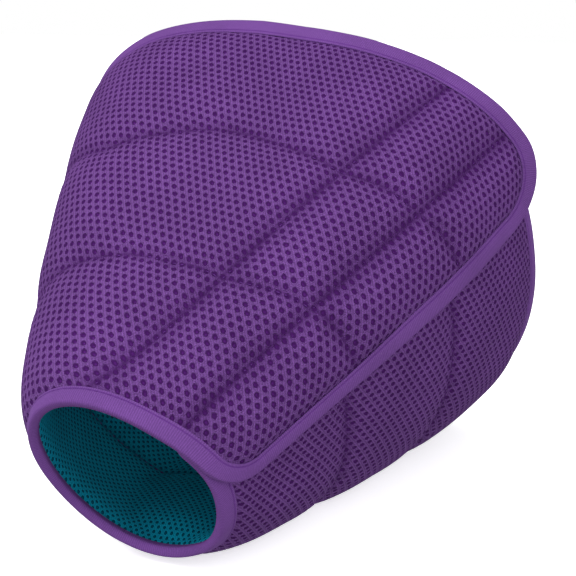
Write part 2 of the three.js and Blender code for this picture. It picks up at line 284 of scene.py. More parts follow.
class ConeColours(bpy.types.PropertyGroup):
    """Colours of the cone's cloth, tape and thread, and of the floor"""

    cover: colour("Cover", "Purple knit between the holes", linear(94, 59, 119))
    # The hole colours are the knit's back seen through a hole, darkened with painted shade of the hole's
    # depth.
    cover_hole_and_shade: colour("Cover holes", "Purple inside the holes", linear(59, 21, 82))
    lining: colour("Lining", "Teal knit between the holes", linear(12, 150, 180))
    lining_hole_and_shade: colour("Lining holes", "Teal inside the holes", linear(0, 76, 99))
    tape: colour("Tape", "Edge binding", linear(99, 62, 127))
    thread: colour("Thread", "Stitches", linear(86, 46, 116))
    strip: colour("Strip", "Hook-and-loop strip", linear(48, 40, 56))
    floor: colour("Floor", "Pale studio floor", linear(246, 246, 247))


def smooth(x):
    """Eases from 0 to 1."""
    x = np.clip(x, 0, 1)
    return x * x * (3 - 2 * x)


def dome(x):
    """Rises like a quarter circle from 0 to 1."""
    return np.sqrt(1 - (1 - np.clip(x, 0, 1)) ** 2)


def soft_minimum(a, b, blend):
    """The smaller of two values, with the change from one to the other rounded."""
    return -blend * np.logaddexp(-a / blend, -b / blend)


def turned(x, y, angle):
    """Places on a plane, turned about its origin."""
    cos, sin = math.cos(angle), math.sin(angle)
    return x * cos - y * sin, x * sin + y * cos


def shift_at(table, angle, beyond=0):
    """The length in metres that a table gives at a clock angle: none before its first row."""
    angles = [row.angle for row in table]
    lengths = [row.millimetres * MM for row in table]
    return np.interp(angle, angles, lengths, left=0, right=beyond)


def seam_line(at, strays, angle):
    """Distance of a round seam from the neck edge, with the way it strays."""
    return at + sum(shift_at(strays, angle + blur) for blur in STRAY_BLUR) / len(STRAY_BLUR)


def stations(reach, forward):
    """Shares of a run of the outline, one for each station along it."""
    count = math.ceil(reach / STATION)
    share = np.arange(count) / count
    return share if forward else 1 - share


def ripple(x, y, side):
    """Unevenness of the padding on the flat panel, about 1 high, the same at each run."""
    random = np.random.default_rng(RIPPLE_SEED + (side == OUTSIDE))
    total = np.zeros_like(x)
    for _ in range(RIPPLE_COUNT):
        wave = 2 * math.pi / random.uniform(*RIPPLE_LENGTHS)
        heading, phase = random.uniform(0, 2 * math.pi, 2)
        total += np.sin((x * math.cos(heading) + y * math.sin(heading)) * wave + phase)
    return total / math.sqrt(RIPPLE_COUNT)


class Wall:
    """The padded panel wrapped into its cone, worked out from the sizes.

    A place on it is given by t, its distance from the neck edge in metres, and by its clock
    angle in degrees, which runs from the covered end to the flap's free edge."""

    def __init__(self, sizes):
        self.sizes = sizes
        self.swollen = False
        self.cone_sine = (sizes.rim_radius - sizes.neck_radius) / sizes.panel_depth
        self.apex = sizes.neck_radius / self.cone_sine
        self.axis_length = sizes.panel_depth * math.sqrt(1 - self.cone_sine ** 2)
        self.tape_inside = sizes.bound_thickness / 2 + sizes.sewn_gap
        self.tape_outside = self.tape_inside + sizes.tape_thickness
        self.stitch_spacing = sizes.stitch_length + sizes.stitch_gap
        below = np.arange(*UNDERSIDE)
        neck_low, rim_low = (self.cone_middle(np.full_like(below, t), below)[:, 2].min()
                             for t in (0, sizes.panel_depth))
        self.tilt = math.atan2(neck_low - rim_low, self.axis_length)
        self.lift = sizes.edge_hover + self.tape_outside - neck_low * math.cos(self.tilt)
        self.shift = np.zeros(3)
        own = np.concatenate([self.place(*self.ring(depth), self.tape_outside)
                              for depth in (0, sizes.binding_width)])
        low, high = (np.array(corner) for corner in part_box("edge_binding"))
        self.shift[:2] = ((low + high) / 2 - (own.min(0) + own.max(0)) / 2)[:2]
        self.swollen = True

    def form_radius(self, v, angle):
        """Distance from the axis, by a cubic through the four sections."""
        a = np.radians(angle)
        waves = [wave(lobes * a) for lobes in (1, 2, 3) for wave in (np.cos, np.sin)]
        neck = self.sizes.neck_radius
        total = 0
        for section in SECTIONS:
            weight = 1
            for other in SECTIONS:
                if other is not section:
                    weight = weight * (v - other.along) / (section.along - other.along)
            mean = neck + section.radius * (self.sizes.rim_radius - neck)
            form = sum(share * wave for share, wave in zip(section[2:], waves))
            total = total + weight * mean * (1 + form)
        return total

    def free_angle(self, t):
        """Clock angle of the flap's free edge, a full turn on."""
        v = t / self.sizes.panel_depth
        bow = 4 * v * (1 - v) * self.sizes.free_edge_bow
        rise = (self.sizes.free_edge_rim - self.sizes.free_edge_neck) * v
        return FULL_TURN + self.sizes.free_edge_neck + rise - bow

    def covered_angle(self, t):
        """Clock angle of the end that the flap covers."""
        return self.free_angle(t) - FULL_TURN - self.sizes.overlap

    def distance_for_turn(self, t, turned):
        """Distance on the flat panel from one of its straight ends."""
        flat = np.minimum(np.radians(turned) * self.cone_sine, np.pi / 2)
        return (self.apex + t) * np.sin(flat)

    def turn_for_distance(self, t, distance):
        """The turn round the cone for a distance from a straight end."""
        return np.degrees(np.arcsin(distance / (self.apex + t)) / self.cone_sine)

    def edge_half(self, depth):
        """Half the wall's thickness by its depth from the panel's outline."""
        sizes = self.sizes
        fill = dome((depth - sizes.binding_width) / sizes.puff_reach)
        return (sizes.bound_thickness + (sizes.pad_thickness - sizes.bound_thickness) * fill) / 2

    def rest_depth(self, t, from_free):
        """How far the covered layer's middle lies inside the flap's."""
        sizes = self.sizes
        edge = np.minimum(t, sizes.panel_depth - t)
        over = np.minimum(edge, from_free)
        flap_half = np.maximum(self.tape_outside, self.edge_half(over))
        covered_half = np.maximum(self.tape_outside, self.edge_half(edge))
        strip_room = sizes.strip_thickness + sizes.sewn_gap
        strip = dome((over - sizes.binding_width) / sizes.puff_reach) * strip_room
        return flap_half + covered_half + sizes.layer_gap + strip

    def flap_drop(self, t, angle):
        """How far the flap's neck corner is drawn in towards the axis."""
        share = smooth(1 - (self.free_angle(t) - angle) / DROP_REACH)
        return self.sizes.flap_drop * (1 - t / self.sizes.panel_depth) * share

    def swell(self, t, angle):
        """How far the rim flares, and the wall bulges, outwards."""
        near_rim = np.clip(1 - (self.sizes.panel_depth - t) / FLARE_REACH, 0, 1)
        total = shift_at(RIM_FLARE, angle, beyond=None) * near_rim ** FLARE_POWER
        for bulge in BULGES:
            aside = ((angle - bulge.angle) / bulge.spread) ** 2
            total = total + bulge.height * np.exp(-aside - ((t - bulge.distance) / bulge.reach) ** 2)
        return total

    def cone_middle(self, t, angle):
        """The middle of the wall in the cone's own frame: x across, y along the axis, z up."""
        v = t / self.sizes.panel_depth
        edge_below = self.free_angle(t) - FULL_TURN
        sinking = smooth((SINK_TO - angle) / (SINK_TO - edge_below))
        under = np.where(angle < edge_below, 1, sinking)
        from_free = self.distance_for_turn(t, np.maximum(0, edge_below - angle))
        sunk = (self.rest_depth(t, from_free) + self.flap_drop(t, angle + FULL_TURN)) * under
        radius = self.form_radius(v, angle)
        radius = radius - np.where(angle < SINK_TO, sunk, self.flap_drop(t, angle))
        if self.swollen:
            radius = radius + self.swell(t, angle)
        slip = smooth((SLIP_TO - angle) / (SLIP_TO - SLIP_FROM)) * self.sizes.end_slip
        a = np.radians(angle)
        return np.stack([radius * np.sin(a), self.axis_length * v + slip, radius * np.cos(a)], -1)

    def middle(self, t, angle):
        """The middle of the wall as the cone lies on the floor."""
        p = self.cone_middle(t, angle)
        along, up = turned(p[..., 1], p[..., 2], self.tilt)
        return np.stack([p[..., 0], along, up + self.lift], -1)

    def normal(self, t, angle):
        """The wall's outward direction."""
        along = self.middle(t + NORMAL_STEP, angle) - self.middle(t - NORMAL_STEP, angle)
        around = self.middle(t, angle + NORMAL_TURN) - self.middle(t, angle - NORMAL_TURN)
        n = np.cross(around, along)
        return n / np.linalg.norm(n, axis=-1, keepdims=True)

    def place(self, t, angle, offset, outer_half=None):
        """Points at an offset from the wall's middle, which is lifted where its outer face
        would pass through the floor, so that the cloth lies flat there."""
        outer = self.tape_outside if outer_half is None else outer_half
        p = self.middle(t, angle)
        n = self.normal(t, angle)
        lowest = p[..., 2] + n[..., 2] * outer
        p[..., 2] -= np.where(n[..., 2] < 0, np.minimum(lowest, 0), 0)
        return p + n * np.broadcast_to(offset, t.shape)[..., None] + self.shift

    def flat(self, t, angle):
        """Place on the flat panel, whose apex is the origin."""
        turned = np.radians(angle) * self.cone_sine
        return (self.apex + t) * np.sin(turned), (self.apex + t) * np.cos(turned)

    def from_flat(self, x, y):
        """t and clock angle of a place on the flat panel."""
        return np.hypot(x, y) - self.apex, np.degrees(np.arctan2(x, y)) / self.cone_sine

    def ends(self, t, angle):
        """Distances from the covered end and from the free edge."""
        return (self.distance_for_turn(t, np.maximum(0, angle - self.covered_angle(t))),
                self.distance_for_turn(t, np.maximum(0, self.free_angle(t) - angle)))

    def depth(self, t, angle):
        """Distance in from the panel's outline with its round corners, negative outside it."""
        sizes = self.sizes
        edge = np.minimum(t, sizes.panel_depth - t)
        outside = (angle < self.covered_angle(t)) | (angle > self.free_angle(t))
        end = np.where(outside, -1, np.minimum(*self.ends(t, angle)))
        corner = np.where(t > sizes.panel_depth / 2, sizes.rim_corner, sizes.neck_corner)
        rounded = corner - np.hypot(corner - edge, corner - end)
        return np.where((edge < corner) & (end < corner), rounded, np.minimum(edge, end))

    def side_run(self, depth, at_free, forward):
        """Beside a straight end, from the neck's corner to the rim's."""
        sizes = self.sizes
        reach = sizes.panel_depth - sizes.rim_corner - sizes.neck_corner
        t = sizes.neck_corner + reach * stations(reach, forward)
        step = self.turn_for_distance(t, depth)
        return np.stack([t, self.free_angle(t) - step if at_free else self.covered_angle(t) + step])

    def edge_run(self, depth, at_rim, forward):
        """Beside a round edge, from the covered end's corner to the free one's."""
        sizes = self.sizes
        corner = sizes.rim_corner if at_rim else sizes.neck_corner
        full = FULL_TURN + sizes.overlap
        reach = (sizes.rim_radius if at_rim else sizes.neck_radius) * math.radians(full) - 2 * corner
        share = stations(reach, forward)
        t = np.full_like(share, sizes.panel_depth - depth if at_rim else depth)
        low = self.covered_angle(t) + self.turn_for_distance(t, corner)
        high = self.free_angle(t) - self.turn_for_distance(t, corner)
        return np.stack([t, low + (high - low) * share])

    def corner_run(self, depth, at_rim, at_free, forward):
        """Round one of the four corners, from the straight end to the round edge."""
        sizes = self.sizes
        corner = sizes.rim_corner if at_rim else sizes.neck_corner
        swing = stations(corner * math.pi / 2, forward) * math.pi / 2
        end = corner - (corner - depth) * np.cos(swing)
        edge = corner - (corner - depth) * np.sin(swing)
        t = sizes.panel_depth - edge if at_rim else edge
        step = self.turn_for_distance(t, end)
        return np.stack([t, self.free_angle(t) - step if at_free else self.covered_angle(t) + step])

    def ring(self, depth):
        """t and clock angle of the stations all round the panel, at one depth in from its outline."""
        return np.concatenate([
            self.side_run(depth, at_free=True, forward=True),
            self.corner_run(depth, at_rim=True, at_free=True, forward=True),
            self.edge_run(depth, at_rim=True, forward=False),
            self.corner_run(depth, at_rim=True, at_free=False, forward=False),
            self.side_run(depth, at_free=False, forward=False),
            self.corner_run(depth, at_rim=False, at_free=False, forward=True),
            self.edge_run(depth, at_rim=False, forward=True),
            self.corner_run(depth, at_rim=False, at_free=True, forward=False),
        ], axis=1)

    def tape_ring(self, depth):
        """A ring of the tape, which is sewn on a little narrower round the neck."""
        full = self.ring(depth)
        narrow = self.ring(depth * NECK_SHARE if depth > 0 else depth)
        return full + (narrow - full) * smooth((NARROW_BELOW - full[0]) / NARROW_OVER)

    def seams_near(self, t, angle):
        """Distance to each of the four quilting seams, two round the cone and then the two
        straight grooves, and how far along the nearest one the place is."""
        sizes = self.sizes
        from_free = self.ends(t, angle)[1]
        distance = np.abs([t - seam_line(sizes.rim_seam, RIM_SEAM_STRAY, angle),
                           t - seam_line(sizes.neck_seam, NECK_SEAM_STRAY, angle),
                           from_free - sizes.inner_groove, from_free - sizes.edge_groove])
        along_round = np.radians(angle) * self.cone_sine * (self.apex + t)
        return distance, np.where(distance.argmin(0) < ROUND_SEAMS, along_round, t)

    def exposed(self, t, angle, side):
        """1 where a face is open to the air, 0 where it rests between the flap and the other end."""
        if side == OUTSIDE:
            return smooth((angle - self.free_angle(t) + FULL_TURN) / OPENING_OVER)
        return smooth((self.covered_angle(t) + FULL_TURN - angle) / OPENING_OVER)

    def padded_half(self, t, angle, depth, side):
        """Half the wall's thickness on one face, with its seams, puckers and ripples."""
        sizes = self.sizes
        distance, along = self.seams_near(t, angle)
        eased = smooth(np.minimum(EASED_BEFORE - angle, angle - EASED_AFTER) / EASED_OVER)
        round_ease = np.maximum(eased, ROUND_EASE)
        pinch = sizes.seam_thickness + sizes.seam_ease * np.stack([round_ease, round_ease, eased, eased])
        fill = dome(distance / sizes.puff_reach) ** VALLEY_POWER
        by_seam = ((pinch + (sizes.pad_thickness - pinch) * fill) / 2).min(0)
        half = soft_minimum(by_seam, self.edge_half(depth), SEAM_BLEND)
        thinnest = sizes.seam_thickness / 2
        fill = np.clip((half - thinnest) / (sizes.pad_thickness / 2 - thinnest), 0, 1)
        near = distance.min(0) / PUCKER_PEAK
        pucker = sum(np.sin(2 * math.pi * along / wave + wave / MM) for wave in PUCKER_WAVES)
        pucker = pucker / len(PUCKER_WAVES) * near * np.exp(1 - near) * smooth(fill / PUCKER_FILL)
        relief = PUCKER_HEIGHT * pucker + RIPPLE_HEIGHT * fill * ripple(*self.flat(t, angle), side)
        return half + relief * self.exposed(t, angle, side)

    def both_halves(self, t, angle, depth, side):
        """Half the wall's thickness on one face, and that of its outer face."""
        half = self.padded_half(t, angle, depth, side)
        outer = half if side == OUTSIDE else self.padded_half(t, angle, depth, OUTSIDE)
        return half, outer


def sizes_of(context):
    """The sizes that the user set."""
    return context.scene.recovery_cone_sizes


def colours_of(context):
    """The colours that the user set."""
    return context.scene.recovery_cone_colours


def deselect_all():
    """Nothing stays selected, so that an operator acts on the new piece alone."""
    for piece in bpy.context.selected_objects:
        piece.select_set(False)


@contextmanager
def edit_mode(everything=True):
    """Edit mode, with everything selected, or else only what was selected in code."""
    bpy.ops.object.mode_set(mode="EDIT")
    if everything:
        bpy.ops.mesh.select_all(action="SELECT")
    yield
    bpy.ops.object.mode_set(mode="OBJECT")


def coordinates(mesh):
    """Vertex places of a mesh as an array."""
    points = np.empty(len(mesh.vertices) * 3)
    mesh.vertices.foreach_get("co", points)
    return points.reshape(-1, 3)


def move_vertices(mesh, points):
    """Puts the vertices of a mesh in new places."""
    mesh.vertices.foreach_set("co", np.ascontiguousarray(points, float).ravel())
    mesh.update()


def finish_piece(piece, material, slot, *nodes):
    """Gives a finished piece its material and its body, and hides the CAD pieces that it stands for."""
    piece.data.materials.clear()
    piece.data.materials.append(material)
    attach(piece, "root")
    if nodes:
        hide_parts(*nodes)


def array_copies(piece, offset, count):
    """Copies a piece in a row and keeps the copies in its mesh."""
    row = piece.modifiers.new("Row", "ARRAY")
    row.use_relative_offset = False
    row.use_constant_offset = True
    row.constant_offset_displace = offset
    row.count = count
    bpy.ops.object.modifier_apply(modifier=row.name)


def knit_of(sizes, side):
    """The knit of the cover or of the lining, whose finer holes have no rim of their own."""
    if side == OUTSIDE:
        return Knit(sizes.hole_pitch, sizes.hole_width, sizes.hole_depth, RIM_HEIGHT, (0, 0))
    return Knit(sizes.lining_pitch, sizes.lining_width, sizes.lining_depth, 0, LINING_STAGGER)


def oval(points):
    """Stretches points of the flat mesh along the way that its holes lean."""
    long, short = turned(points[:, 0], points[:, 1], -HOLE_LEAN)
    return np.stack(turned(long * HOLE_LONG, short * HOLE_SHORT, HOLE_LEAN), 1)


def hole_cell(knit):
    """One six-sided cell of the mesh, flat at the origin, with a dimple for its hole."""
    deselect_all()
    bpy.ops.mesh.primitive_circle_add(
        vertices=CELL_SIDES, radius=knit.pitch / math.sqrt(3), fill_type="NGON", location=(0, 0, 0))
    cell = bpy.context.object
    with edit_mode():
        if knit.rim_height:
            bpy.ops.mesh.inset(thickness=(knit.pitch - knit.hole_width) / 2)
        bpy.ops.mesh.poke()
    points = coordinates(cell.data)
    from_middle = np.hypot(points[:, 0], points[:, 1])
    inner = from_middle < knit.pitch / 2
    points[inner, :2] = oval(points[inner, :2])
    points[inner, 2] = knit.rim_height
    points[from_middle < knit.pitch * MIDDLE_SHARE, 2] = -knit.hole_depth
    move_vertices(cell.data, points)
    return cell


def lattice_box(wall):
    """Lowest and highest corner of the flat panel, in the turned frame of the lattice."""
    outline = np.stack(turned(*wall.flat(*wall.ring(0)), -LATTICE_TURN))
    return outline.min(1), outline.max(1)


def mesh_places(wall, points):
    """t and clock angle of points given in the turned frame of the lattice."""
    return wall.from_flat(*turned(points[:, 0], points[:, 1], LATTICE_TURN))


def hole_lattice(wall, knit):
    """The flat front of the mesh: cells side by side, kept where they lie on the panel."""
    pitch = knit.pitch
    row = pitch * math.sqrt(3)
    low, high = lattice_box(wall)
    cell = hole_cell(knit)
    cell_points = len(cell.data.vertices)
    array_copies(cell, (pitch / 2, row / 2, 0), 2)
    array_copies(cell, (pitch, 0, 0), math.ceil((high[0] - low[0]) / pitch) + 1)
    array_copies(cell, (0, row, 0), math.ceil((high[1] - low[1]) / row) + 1)
    points = coordinates(cell.data)
    points[:, :2] += np.floor(low / (pitch, row)) * (pitch, row) + np.array(knit.stagger) * pitch
    move_vertices(cell.data, points)
    centres = points.reshape(-1, cell_points, 3).mean(1)
    spare = wall.depth(*mesh_places(wall, centres)) < HIDDEN_DEPTH
    for parts in (cell.data.edges, cell.data.polygons):
        parts.foreach_set("select", np.zeros(len(parts), bool))
    cell.data.vertices.foreach_set("select", np.repeat(spare, cell_points))
    with edit_mode(everything=False):
        bpy.ops.mesh.select_mode(type="VERT")
        bpy.ops.mesh.delete(type="VERT")
        bpy.ops.mesh.select_all(action="SELECT")
        bpy.ops.mesh.remove_doubles(threshold=pitch * MERGE_SHARE)
    return cell, centres[~spare]


def close_back(mesh, centres):
    """Closes the sheet with a plain back of large triangles, and marks the back's vertices."""
    bm = bmesh.new()
    bm.from_mesh(mesh)
    mark = bm.verts.layers.int.new("back")
    border = [edge.link_loops[0] for edge in bm.edges if edge.is_boundary]
    corners = list(dict.fromkeys(loop.vert for loop in border))
    number = {vert: k for k, vert in enumerate(corners)}
    links = [(number[loop.vert], number[loop.link_loop_next.vert]) for loop in border]
    flat = [Vector(vert.co[:2]) for vert in corners] + [Vector(centre[:2]) for centre in centres]
    places, _, faces, origins, _, _ = delaunay_2d_cdt(flat, links, [], BACK_INSIDE, BACK_FINEST)
    twins = {}
    backs = []
    for place, origin in zip(places, origins):
        vert = bm.verts.new((place.x, place.y, 0))
        vert[mark] = 1
        backs.append(vert)
        for k in origin:
            twins[k] = vert
    for face in faces:
        bm.faces.new([backs[k] for k in reversed(face)])
    for loop in border:
        a, b = loop.vert, loop.link_loop_next.vert
        bm.faces.new([b, a, twins[number[a]], twins[number[b]]])
    bm.to_mesh(mesh)
    bm.free()


def flip_if_inside_out(mesh):
    """Turns the faces of a closed mesh outwards."""
    bm = bmesh.new()
    bm.from_mesh(mesh)
    if bm.calc_volume(signed=True) < 0:
        bmesh.ops.reverse_faces(bm, faces=bm.faces[:])
    bm.to_mesh(mesh)
    bm.free()


def pattern_map(mesh, name, values):
    """Keeps a pair of numbers for each vertex as a UV map, for a pattern that follows the cloth."""
    corner_vertex = np.empty(len(mesh.loops), int)
    mesh.loops.foreach_get("vertex_index", corner_vertex)
    layer = mesh.uv_layers.new(name=name)
    layer.data.foreach_set("uv", np.ascontiguousarray(values[corner_vertex], np.float32).ravel())


def mesh_cloth(name, wall, side):
    """One face of the padded wall, the outside or the inside, with all its holes."""
    knit = knit_of(wall.sizes, side)
    piece, centres = hole_lattice(wall, knit)
    mesh = piece.data
    piece.name = mesh.name = name
    deep = centres[wall.depth(*mesh_places(wall, centres)) > BACK_DEPTH]
    close_back(mesh, deep[::BACK_EVERY])
    back = np.empty(len(mesh.vertices), int)
    mesh.attributes["back"].data.foreach_get("value", back)
    mesh.attributes.remove(mesh.attributes["back"])
    points = coordinates(mesh)
    pattern_map(mesh, "Holes", points[:, :2] / knit.pitch - np.array(knit.stagger))
    t, angle = mesh_places(wall, points)
    from_seams, along = wall.seams_near(t, angle)
    # The round seams' distances are stretched, so that the painted shade beside them is narrower.
    from_seams[:ROUND_SEAMS] *= ROUND_NARROWING
    pattern_map(mesh, "Seam", np.stack([from_seams.min(0), along], 1))
    depth = wall.depth(t, angle)
    half, outer = wall.both_halves(t, angle, depth, side)
    open_cloth = smooth((depth - wall.sizes.binding_width + MM) / MM)
    dimple = np.maximum(points[:, 2], THIN_CLOTH - half) * open_cloth
    offset = np.where(back == 1, BACK_OFFSET, half + dimple) * side
    placed = wall.place(t, angle, offset, outer)
    placed[:, 2] = np.maximum(placed[:, 2], 0)
    move_vertices(mesh, placed)
    flip_if_inside_out(mesh)
    bpy.ops.object.shade_smooth()
    return piece


def tape_section(wall):
    """Closed section of the folded tape: distance in from the edge, and offset from the middle.
    Its leg lists that distance, and the height in millimetres over the tape's flat face."""
    outside, inside, width = wall.tape_outside, wall.tape_inside, wall.sizes.binding_width
    gap = wall.sizes.sewn_gap
    fold_reach = gap + wall.sizes.tape_thickness
    leg = [
        (width, -0.40), (width - 0.15 * MM, -0.12), (width - 0.6 * MM, 0.03), (TAPE_LINE + 0.7 * MM, 0.06),
        (TAPE_LINE + 0.3 * MM, -0.04), (TAPE_LINE, -0.20), (TAPE_LINE - 0.3 * MM, -0.04),
        (TAPE_LINE - 0.8 * MM, 0.12), (0.62 * width, 0.30), (0.42 * width, 0.36), (0.22 * width, 0.26),
        (0.08 * width, 0.10),
    ]
    upper = [(depth, outside + lift * MM) for depth, lift in leg]
    fold = [(-fold_reach * math.sin(swing), outside * math.cos(swing))
            for swing in np.radians(FOLD_TURNS)]
    lower = [(depth * INNER_SHARE, -offset) for depth, offset in reversed(upper)]
    within = [(width, inside), (width / 2, inside), (0, inside), (-gap, inside / 2)]
    within = [(depth * INNER_SHARE, -offset) for depth, offset in within] + within[::-1]
    return upper + fold + lower + within


def edge_tape(wall):
    """The tape folded over the panel's whole edge, as one closed band."""
    section = tape_section(wall)
    rings = np.stack([wall.tape_ring(depth) for depth, _ in section], -1)
    steps, around = rings.shape[1:]
    deselect_all()
    bpy.ops.mesh.primitive_grid_add(x_subdivisions=steps, y_subdivisions=around, size=1)
    piece = bpy.context.object
    piece.name = piece.data.name = "edge_binding_tape"
    grid = coordinates(piece.data)
    row = np.rint((grid[:, 0] + 0.5) * steps).astype(int)
    column = np.rint((grid[:, 1] + 0.5) * around).astype(int)
    t, angle = rings[:, row % steps, column % around]
    across, offset = np.array(section)[column % around].T
    across = np.where(offset < 0, across / INNER_SHARE, across)
    uneven = ripple(*wall.flat(t, angle), OUTSIDE) * TAPE_UNEVEN
    offset = offset + np.sign(offset) * uneven * (np.abs(offset) > wall.tape_inside)
    line = wall.place(*wall.ring(0), 0)
    strides = np.linalg.norm(np.roll(line, -1, 0) - line, axis=1)
    along = np.concatenate([[0], np.cumsum(strides)])[row]
    while piece.data.uv_layers:
        piece.data.uv_layers.remove(piece.data.uv_layers[0])
    pattern_map(piece.data, "Tape", np.stack([along, across], 1))
    move_vertices(piece.data, wall.place(t, angle, offset))
    with edit_mode():
        bpy.ops.mesh.remove_doubles(threshold=TAPE_MERGE)
    flip_if_inside_out(piece.data)
    bpy.ops.object.shade_smooth()
    return piece


def read_off(rows, reach, at):
    """Rows of numbers at distances along a line, read between its points."""
    return np.stack([np.interp(at, reach, row) for row in rows.T], 1)


def evenly_along(points, directions, spacing):
    """Places, run directions and outward directions at even distances along a line."""
    steps = np.linalg.norm(np.diff(points, axis=0), axis=1)
    reach = np.concatenate([[0], np.cumsum(steps)])
    at = np.arange(spacing / 2, reach[-1], spacing)
    middle = read_off(points, reach, at)
    run = read_off(points, reach, at + spacing / 4) - read_off(points, reach, at - spacing / 4)
    run /= np.linalg.norm(run, axis=1, keepdims=True)
    up = read_off(directions, reach, at)
    up -= run * (up * run).sum(1, keepdims=True)
    return middle, run, up / np.linalg.norm(up, axis=1, keepdims=True)


def tape_stitches(wall):
    """Where the stitches of the tape's line lie, on its outer and its inner face."""
    for side, depth in ((OUTSIDE, TAPE_LINE), (INSIDE, TAPE_LINE * INNER_SHARE)):
        t, angle = wall.tape_ring(depth)
        points = wall.place(t, angle, side * (wall.tape_outside - DEPTH_IN_TAPE))
        yield evenly_along(points, wall.normal(t, angle), wall.stitch_spacing)


def seam_lines(wall):
    """t and clock angle along the four quilting seams."""
    sizes = wall.sizes
    angle = np.linspace(0, FULL_TURN + sizes.overlap + sizes.free_edge_neck, ROUND_POINTS)
    sides = np.linspace(0, sizes.panel_depth, STRAIGHT_POINTS)
    for at, strays in ((sizes.rim_seam, RIM_SEAM_STRAY), (sizes.neck_seam, NECK_SEAM_STRAY)):
        yield seam_line(at, strays, angle), angle
    for distance in (sizes.inner_groove, sizes.edge_groove):
        yield sides, wall.free_angle(sides) - wall.turn_for_distance(sides, distance)


def quilting_stitches(wall):
    """Where the stitches of the quilting seams lie, from tape to tape on both faces."""
    for t, angle in seam_lines(wall):
        inside = wall.depth(t, angle) > wall.sizes.binding_width
        t, angle = t[inside], angle[inside]
        for side in (OUTSIDE, INSIDE):
            half, outer = wall.both_halves(t, angle, wall.depth(t, angle), side)
            points = wall.place(t, angle, side * (half - DEPTH_IN_CLOTH), outer)
            yield evenly_along(points, wall.normal(t, angle), wall.stitch_spacing)


def one_stitch(sizes):
    """A short round-ended thread that lies along X."""
    deselect_all()
    bpy.ops.mesh.primitive_uv_sphere_add(
        segments=STITCH_SEGMENTS, ring_count=STITCH_RINGS, radius=0.5, location=(0, 0, 0))
    stitch = bpy.context.object
    spans = (sizes.stitch_length, sizes.stitch_width, sizes.stitch_width)
    with edit_mode():
        bpy.ops.transform.rotate(value=math.pi / 2, orient_axis="Y", center_override=(0, 0, 0))
        bpy.ops.transform.resize(value=spans)
    return stitch


def sew(name, sizes, rows):
    """Copies one stitch along every row and joins the copies in one piece."""
    stitch = one_stitch(sizes)
    shape = coordinates(stitch.data)
    faces = [list(face.vertices) for face in stitch.data.polygons]
    middle, run, up = (np.concatenate(part) for part in zip(*rows))
    side = np.cross(up, run)
    placed = middle[:, None]
    for axis, direction in enumerate((run, side, up)):
        placed = placed + shape[None, :, axis:axis + 1] * direction[:, None]
    placed = placed.reshape(-1, 3)
    placed[:, 2] = np.maximum(placed[:, 2], 0)
    starts = np.arange(len(middle)) * len(shape)
    joined = [[start + k for k in face] for start in starts.tolist() for face in faces]
    mesh = bpy.data.meshes.new(name)
    mesh.from_pydata(placed.tolist(), [], joined)
    old = stitch.data
    stitch.data = mesh
    bpy.data.meshes.remove(old)
    stitch.name = name
    flip_if_inside_out(mesh)
    bpy.ops.object.shade_smooth()
    return stitch


class Nodes:
    """The nodes of a material or world, added and joined one by one."""

    def __init__(self, tree):
        self.tree = tree

    def add(self, kind, **settings):
        """A node with some of its settings."""
        node = self.tree.nodes.new(kind)
        for name, value in settings.items():
            setattr(node, name, value)
        return node

    def feed(self, socket, value):
        """Joins a socket to an output, or sets it."""
        if isinstance(value, bpy.types.NodeSocket):
            self.tree.links.new(value, socket)
        else:
            socket.default_value = value

    def math(self, operation, *values):
        """A sum, product or other function of values."""
        node = self.add("ShaderNodeMath", operation=operation)
        for socket, value in zip(node.inputs, values):
            self.feed(socket, value)
        return node.outputs[0]

    def ramp(self, value, low, high, from_value=0.0, to_value=1.0, kind="LINEAR"):
        """Goes from one value to another while the input goes from low to high."""
        node = self.add("ShaderNodeMapRange", interpolation_type=kind)
        for socket, number in zip(node.inputs, (value, low, high, from_value, to_value)):
            self.feed(socket, number)
        return node.outputs[0]

    def ease(self, value, low, high, from_value=0.0, to_value=1.0):
        """Eases from one value to another while the input goes from low to high."""
        return self.ramp(value, low, high, from_value, to_value, "SMOOTHSTEP")


